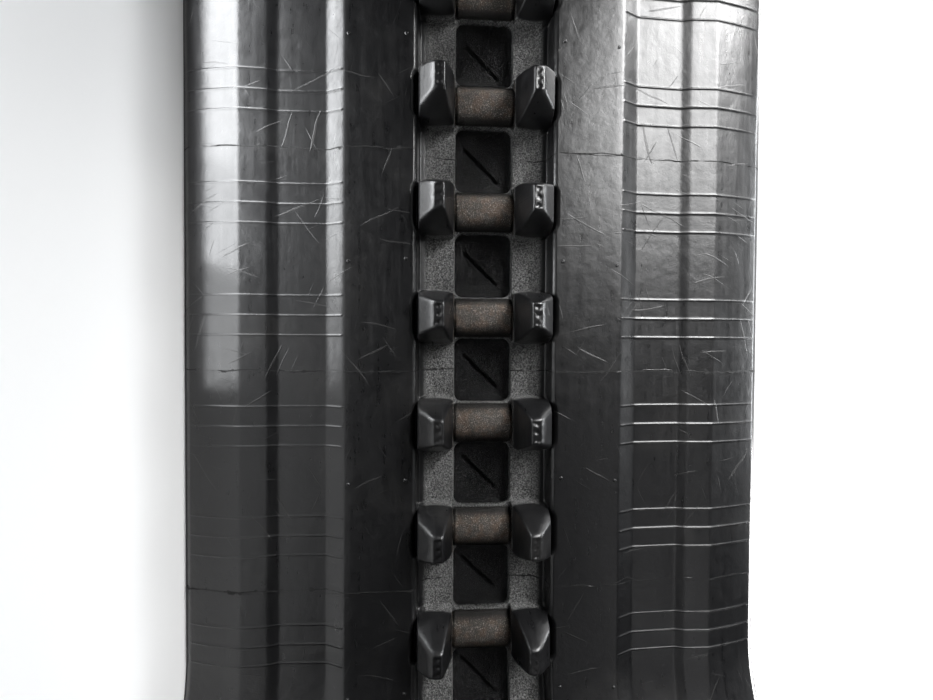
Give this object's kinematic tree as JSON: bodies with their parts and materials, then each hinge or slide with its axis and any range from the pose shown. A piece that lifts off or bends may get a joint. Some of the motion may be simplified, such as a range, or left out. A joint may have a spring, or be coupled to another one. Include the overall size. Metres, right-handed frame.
{
  "type": "rubber track",
  "caption": "Endless rubber crawler track with exposed steel drive bars, blind sprocket pockets, paired guide horns, smooth roller paths and staggered tread bars.",
  "frame": {"origin": "middle of the loop, on the surface that its lower side edge lies on", "axes": "+X along the straight runs, +Y square to them, +Z across the track's width, along every flex axis"},
  "size_m": [0.7166, 0.3566, 0.33],
  "materials": {
    "rubber": "black moulded rubber, satin to glossy, lightly scratched",
    "core_steel": "bare forged steel, brown grey and speckled",
    "cord_steel": "brass-free stranded wire, hidden in the rubber"
  },
  "bodies": {
    "link_00": {"rubber_section_00": "rubber", "steel_core_00": "core_steel", "cord_belt_lower": "cord_steel", "cord_belt_upper": "cord_steel"},
    "link_01": {"rubber_section_01": "rubber", "steel_core_01": "core_steel"},
    "link_02": {"rubber_section_02": "rubber", "steel_core_02": "core_steel"},
    "link_03": {"rubber_section_03": "rubber", "steel_core_03": "core_steel"},
    "link_04": {"rubber_section_04": "rubber", "steel_core_04": "core_steel"},
    "link_05": {"rubber_section_05": "rubber", "steel_core_05": "core_steel"},
    "link_06": {"rubber_section_06": "rubber", "steel_core_06": "core_steel"},
    "link_07": {"rubber_section_07": "rubber", "steel_core_07": "core_steel"},
    "link_08": {"rubber_section_08": "rubber", "steel_core_08": "core_steel"},
    "link_09": {"rubber_section_09": "rubber", "steel_core_09": "core_steel"},
    "link_10": {"rubber_section_10": "rubber", "steel_core_10": "core_steel"},
    "link_11": {"rubber_section_11": "rubber", "steel_core_11": "core_steel"},
    "link_12": {"rubber_section_12": "rubber", "steel_core_12": "core_steel"},
    "link_13": {"rubber_section_13": "rubber", "steel_core_13": "core_steel"},
    "link_14": {"rubber_section_14": "rubber", "steel_core_14": "core_steel"},
    "link_15": {"rubber_section_15": "rubber", "steel_core_15": "core_steel"},
    "link_16": {"rubber_section_16": "rubber", "steel_core_16": "core_steel"},
    "link_17": {"rubber_section_17": "rubber", "steel_core_17": "core_steel"},
    "link_18": {"rubber_section_18": "rubber", "steel_core_18": "core_steel"},
    "link_19": {"rubber_section_19": "rubber", "steel_core_19": "core_steel"},
    "link_20": {"rubber_section_20": "rubber", "steel_core_20": "core_steel"},
    "link_21": {"rubber_section_21": "rubber", "steel_core_21": "core_steel"},
    "link_22": {"rubber_section_22": "rubber", "steel_core_22": "core_steel"},
    "link_23": {"rubber_section_23": "rubber", "steel_core_23": "core_steel"},
    "link_24": {"rubber_section_24": "rubber", "steel_core_24": "core_steel"},
    "link_25": {"rubber_section_25": "rubber", "steel_core_25": "core_steel"},
    "link_26": {"rubber_section_26": "rubber", "steel_core_26": "core_steel"},
    "link_27": {"rubber_section_27": "rubber", "steel_core_27": "core_steel"}
  },
  "joints": [
    {"name": "flex_00_01", "type": "hinge", "parent": "link_00", "child": "link_01", "pos_m": [0.03, 0.15082, 0.165], "axis": [0, 0, -1], "range_deg": [-2, 12.8], "stiffness_Nm_per_rad": 6, "deforming": ["cord_belt_lower", "cord_belt_upper"]},
    {"name": "flex_01_02", "type": "hinge", "parent": "link_01", "child": "link_02", "pos_m": [0.09, 0.15082, 0.165], "axis": [0, 0, -1], "range_deg": [-2.4, 15.4], "stiffness_Nm_per_rad": 6},
    {"name": "flex_02_03", "type": "hinge", "parent": "link_02", "child": "link_03", "pos_m": [0.15, 0.15082, 0.165], "axis": [0, 0, -1], "range_deg": [-2.4, 15.4], "stiffness_Nm_per_rad": 6},
    {"name": "flex_03_04", "type": "hinge", "parent": "link_03", "child": "link_04", "pos_m": [0.21, 0.15082, 0.165], "axis": [0, 0, -1], "range_deg": [-11.6, 1.8], "stiffness_Nm_per_rad": 6},
    {"name": "flex_04_05", "type": "hinge", "parent": "link_04", "child": "link_05", "pos_m": [0.26543, 0.12786, 0.165], "axis": [0, 0, -1], "range_deg": [-11.6, 1.8], "stiffness_Nm_per_rad": 6},
    {"name": "flex_05_06", "type": "hinge", "parent": "link_05", "child": "link_06", "pos_m": [0.30786, 0.08543, 0.165], "axis": [0, 0, -1], "range_deg": [-11.6, 1.8], "stiffness_Nm_per_rad": 6},
    {"name": "flex_06_07", "type": "hinge", "parent": "link_06", "child": "link_07", "pos_m": [0.33082, 0.03, 0.165], "axis": [0, 0, -1], "range_deg": [-11.6, 1.8], "stiffness_Nm_per_rad": 6},
    {"name": "flex_07_08", "type": "hinge", "parent": "link_07", "child": "link_08", "pos_m": [0.33082, -0.03, 0.165], "axis": [0, 0, -1], "range_deg": [-11.6, 1.8], "stiffness_Nm_per_rad": 6},
    {"name": "flex_08_09", "type": "hinge", "parent": "link_08", "child": "link_09", "pos_m": [0.30786, -0.08543, 0.165], "axis": [0, 0, -1], "range_deg": [-11.6, 1.8], "stiffness_Nm_per_rad": 6},
    {"name": "flex_09_10", "type": "hinge", "parent": "link_09", "child": "link_10", "pos_m": [0.26543, -0.12786, 0.165], "axis": [0, 0, -1], "range_deg": [-11.6, 1.8], "stiffness_Nm_per_rad": 6},
    {"name": "flex_10_11", "type": "hinge", "parent": "link_10", "child": "link_11", "pos_m": [0.21, -0.15082, 0.165], "axis": [0, 0, -1], "range_deg": [-11.6, 1.8], "stiffness_Nm_per_rad": 6},
    {"name": "flex_11_12", "type": "hinge", "parent": "link_11", "child": "link_12", "pos_m": [0.15, -0.15082, 0.165], "axis": [0, 0, -1], "range_deg": [-2.4, 15.4], "stiffness_Nm_per_rad": 6},
    {"name": "flex_12_13", "type": "hinge", "parent": "link_12", "child": "link_13", "pos_m": [0.09, -0.15082, 0.165], "axis": [0, 0, -1], "range_deg": [-2.4, 15.4], "stiffness_Nm_per_rad": 6},
    {"name": "flex_13_14", "type": "hinge", "parent": "link_13", "child": "link_14", "pos_m": [0.03, -0.15082, 0.165], "axis": [0, 0, -1], "range_deg": [-2.4, 15.4], "stiffness_Nm_per_rad": 6},
    {"name": "flex_27_00", "type": "hinge", "parent": "link_00", "child": "link_27", "pos_m": [-0.03, 0.15082, 0.165], "axis": [0, 0, 1], "range_deg": [-2.4, 15.4], "stiffness_Nm_per_rad": 6},
    {"name": "flex_26_27", "type": "hinge", "parent": "link_27", "child": "link_26", "pos_m": [-0.09, 0.15082, 0.165], "axis": [0, 0, 1], "range_deg": [-2.4, 15.4], "stiffness_Nm_per_rad": 6},
    {"name": "flex_25_26", "type": "hinge", "parent": "link_26", "child": "link_25", "pos_m": [-0.15, 0.15082, 0.165], "axis": [0, 0, 1], "range_deg": [-2.4, 15.4], "stiffness_Nm_per_rad": 6},
    {"name": "flex_24_25", "type": "hinge", "parent": "link_25", "child": "link_24", "pos_m": [-0.21, 0.15082, 0.165], "axis": [0, 0, 1], "range_deg": [-11.6, 1.8], "stiffness_Nm_per_rad": 6},
    {"name": "flex_23_24", "type": "hinge", "parent": "link_24", "child": "link_23", "pos_m": [-0.26543, 0.12786, 0.165], "axis": [0, 0, 1], "range_deg": [-11.6, 1.8], "stiffness_Nm_per_rad": 6},
    {"name": "flex_22_23", "type": "hinge", "parent": "link_23", "child": "link_22", "pos_m": [-0.30786, 0.08543, 0.165], "axis": [0, 0, 1], "range_deg": [-11.6, 1.8], "stiffness_Nm_per_rad": 6},
    {"name": "flex_21_22", "type": "hinge", "parent": "link_22", "child": "link_21", "pos_m": [-0.33082, 0.03, 0.165], "axis": [0, 0, 1], "range_deg": [-11.6, 1.8], "stiffness_Nm_per_rad": 6},
    {"name": "flex_20_21", "type": "hinge", "parent": "link_21", "child": "link_20", "pos_m": [-0.33082, -0.03, 0.165], "axis": [0, 0, 1], "range_deg": [-11.6, 1.8], "stiffness_Nm_per_rad": 6},
    {"name": "flex_19_20", "type": "hinge", "parent": "link_20", "child": "link_19", "pos_m": [-0.30786, -0.08543, 0.165], "axis": [0, 0, 1], "range_deg": [-11.6, 1.8], "stiffness_Nm_per_rad": 6},
    {"name": "flex_18_19", "type": "hinge", "parent": "link_19", "child": "link_18", "pos_m": [-0.26543, -0.12786, 0.165], "axis": [0, 0, 1], "range_deg": [-11.6, 1.8], "stiffness_Nm_per_rad": 6},
    {"name": "flex_17_18", "type": "hinge", "parent": "link_18", "child": "link_17", "pos_m": [-0.21, -0.15082, 0.165], "axis": [0, 0, 1], "range_deg": [-11.6, 1.8], "stiffness_Nm_per_rad": 6},
    {"name": "flex_16_17", "type": "hinge", "parent": "link_17", "child": "link_16", "pos_m": [-0.15, -0.15082, 0.165], "axis": [0, 0, 1], "range_deg": [-2.4, 15.4], "stiffness_Nm_per_rad": 6},
    {"name": "flex_15_16", "type": "hinge", "parent": "link_16", "child": "link_15", "pos_m": [-0.09, -0.15082, 0.165], "axis": [0, 0, 1], "range_deg": [-2.4, 15.4], "stiffness_Nm_per_rad": 6}
  ],
  "couplings": [
    {"joint": "flex_01_02", "follows": "flex_00_01", "ratio": 1},
    {"joint": "flex_02_03", "follows": "flex_00_01", "ratio": 1},
    {"joint": "flex_03_04", "follows": "flex_00_01", "ratio": -0.75},
    {"joint": "flex_04_05", "follows": "flex_00_01", "ratio": -0.75},
    {"joint": "flex_05_06", "follows": "flex_00_01", "ratio": -0.75},
    {"joint": "flex_06_07", "follows": "flex_00_01", "ratio": -0.75},
    {"joint": "flex_07_08", "follows": "flex_00_01", "ratio": -0.75},
    {"joint": "flex_08_09", "follows": "flex_00_01", "ratio": -0.75},
    {"joint": "flex_09_10", "follows": "flex_00_01", "ratio": -0.75},
    {"joint": "flex_10_11", "follows": "flex_00_01", "ratio": -0.75},
    {"joint": "flex_11_12", "follows": "flex_00_01", "ratio": 1},
    {"joint": "flex_12_13", "follows": "flex_00_01", "ratio": 1},
    {"joint": "flex_13_14", "follows": "flex_00_01", "ratio": 1},
    {"joint": "flex_27_00", "follows": "flex_00_01", "ratio": 1},
    {"joint": "flex_26_27", "follows": "flex_00_01", "ratio": 1},
    {"joint": "flex_25_26", "follows": "flex_00_01", "ratio": 1},
    {"joint": "flex_24_25", "follows": "flex_00_01", "ratio": -0.75},
    {"joint": "flex_23_24", "follows": "flex_00_01", "ratio": -0.75},
    {"joint": "flex_22_23", "follows": "flex_00_01", "ratio": -0.75},
    {"joint": "flex_21_22", "follows": "flex_00_01", "ratio": -0.75},
    {"joint": "flex_20_21", "follows": "flex_00_01", "ratio": -0.75},
    {"joint": "flex_19_20", "follows": "flex_00_01", "ratio": -0.75},
    {"joint": "flex_18_19", "follows": "flex_00_01", "ratio": -0.75},
    {"joint": "flex_17_18", "follows": "flex_00_01", "ratio": -0.75},
    {"joint": "flex_16_17", "follows": "flex_00_01", "ratio": 1},
    {"joint": "flex_15_16", "follows": "flex_00_01", "ratio": 1}
  ]
}
